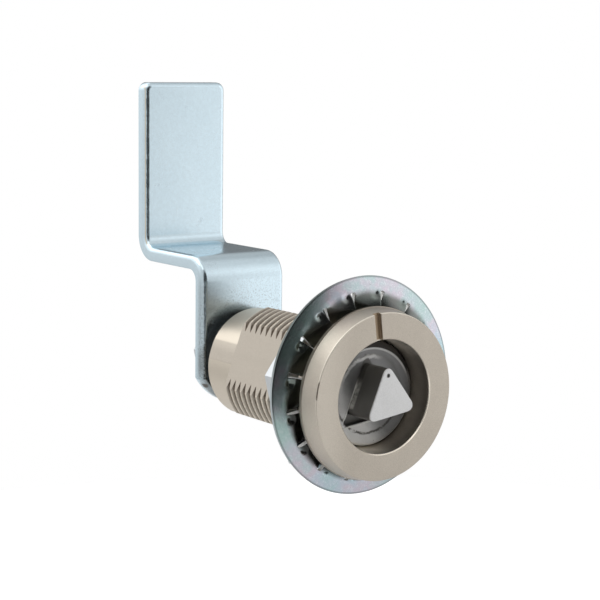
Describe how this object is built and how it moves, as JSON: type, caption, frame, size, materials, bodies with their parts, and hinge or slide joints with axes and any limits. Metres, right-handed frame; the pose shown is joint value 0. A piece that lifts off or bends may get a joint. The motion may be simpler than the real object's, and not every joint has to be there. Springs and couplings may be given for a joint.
{
  "type": "triangular key cabinet lock",
  "caption": "Quarter-turn cam lock: round head with a triangular key post in a recess, threaded body with flats, toothed washer, hex nut and a steel cam bent like a Z.",
  "frame": {"origin": "on the lock's axis, in the plane of the head's rear face, where the door sheet seats", "axes": "-Y points out of the door towards the user, +Y runs along the lock's axis into the cabinet, +Z points along the cam"},
  "size_m": [0.0354, 0.063, 0.0649],
  "materials": {
    "satin_nickel": "satin nickel plate on a zinc die casting",
    "cast_zinc": "bare zinc die casting, slightly rough",
    "seal_rubber": "black rubber",
    "slide_plastic": "natural slide plastic",
    "spring_steel": "dark oiled spring steel",
    "plain_steel": "plain turned steel",
    "iridescent_zinc": "thin spring steel, zinc plate with an iridescent passivate",
    "bright_zinc": "bright zinc plate",
    "blue_zinc": "pale blue zinc plate"
  },
  "bodies": {
    "lock_body": {"housing": "satin_nickel", "thrust_washer": "slide_plastic", "toothed_washer": "iridescent_zinc", "mounting_nut": "bright_zinc"},
    "rotor": {"drive_core": "cast_zinc", "core_seal": "seal_rubber", "disc_spring": "spring_steel", "support_washer": "plain_steel", "retaining_clip": "spring_steel", "stop_collar": "plain_steel", "cam": "blue_zinc", "lock_washer": "spring_steel", "cam_bolt": "bright_zinc"}
  },
  "joints": [
    {"name": "core_turn", "type": "hinge", "parent": "lock_body", "child": "rotor", "pos_m": [0, 0, 0], "axis": [0, 1, 0], "range_deg": [0, 90]}
  ]
}
